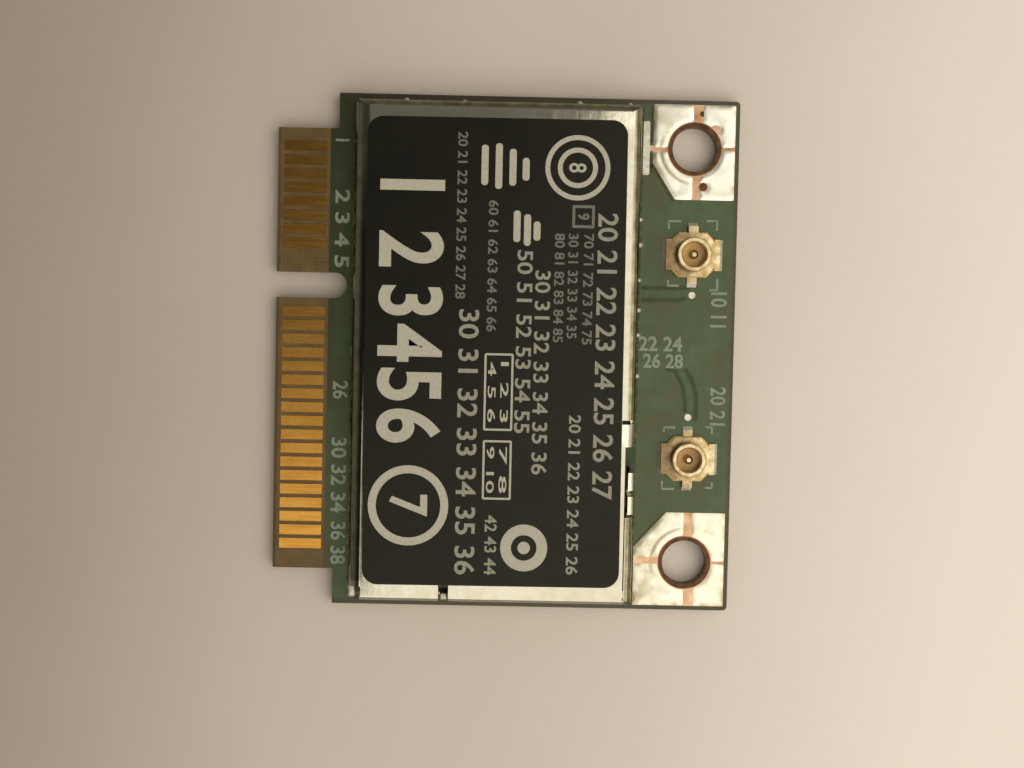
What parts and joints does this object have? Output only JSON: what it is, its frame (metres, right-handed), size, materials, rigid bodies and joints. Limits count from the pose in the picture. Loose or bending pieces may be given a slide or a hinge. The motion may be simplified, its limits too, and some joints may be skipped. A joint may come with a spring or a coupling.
{
  "type": "laptop wifi card",
  "caption": "Half-size plug-in wireless card: keyed edge contacts on one end, shielded circuit under a black label, two coaxial antenna jacks and two screw holes on the other.",
  "frame": {"origin": "under the card's centre, on the plane of the underside's contacts and pads, on which the card lies", "axes": "+X from the contact edge to the screw edge, +Y along the contact row towards contact 1, +Z out of the component side"},
  "size_m": [0.0268, 0.0298, 0.0027],
  "materials": {
    "laminate": "bare glass-fibre laminate, tan and slightly glossy",
    "solder_mask": "dark green lacquer, glossy",
    "gold_plating": "hard gold over nickel, lightly worn",
    "copper": "bare copper with a thin gold flash",
    "solder": "reflowed tin solder, bright and slightly rippled",
    "shield_steel": "tinned sheet, satin",
    "label_film": "black printed film, satin",
    "jack_moulding": "heat-proof moulding, ivory",
    "jack_gold": "gold-plated brass",
    "package_moulding": "black moulded epoxy",
    "crystal_can": "plated metal lid",
    "ferrite": "dark grey ferrite",
    "filter_ceramic": "off-white fired ceramic",
    "capacitor_ceramic": "brown fired ceramic",
    "resistor_ceramic": "black glazed ceramic"
  },
  "bodies": {
    "root": {"antenna_jack_1_base": "jack_moulding", "antenna_jack_1_contact": "jack_gold", "antenna_jack_1_shell": "jack_gold", "antenna_jack_1_solder": "solder", "antenna_jack_2_base": "jack_moulding", "antenna_jack_2_contact": "jack_gold", "antenna_jack_2_shell": "jack_gold", "antenna_jack_2_solder": "solder", "antenna_switch": "package_moulding", "band_filter_1": "filter_ceramic", "band_filter_2": "filter_ceramic", "chip_capacitors": "capacitor_ceramic", "chip_end_caps": "solder", "chip_resistors": "resistor_ceramic", "circuit_board": "laminate", "contacts_long_bottom": "gold_plating", "contacts_long_top": "gold_plating", "contacts_short_bottom": "gold_plating", "contacts_short_top": "gold_plating", "ground_pad_lower_bottom": "copper", "ground_pad_lower_top": "copper", "ground_pad_solder_lower": "solder", "ground_pad_solder_upper": "solder", "ground_pad_upper_bottom": "copper", "ground_pad_upper_top": "copper", "memory_chip": "package_moulding", "power_inductor": "ferrite", "radio_chip": "package_moulding", "radio_chip_terminals": "solder", "receive_amplifier": "package_moulding", "reference_crystal": "crystal_can", "shield_frame": "shield_steel", "shield_label": "label_film", "shield_lid": "shield_steel", "shield_solder": "solder", "shield_track": "copper", "solder_mask_bottom": "solder_mask", "solder_mask_top": "solder_mask", "test_pads": "gold_plating", "transmit_amplifier": "package_moulding", "voltage_regulator": "package_moulding"}
  },
  "joints": []
}
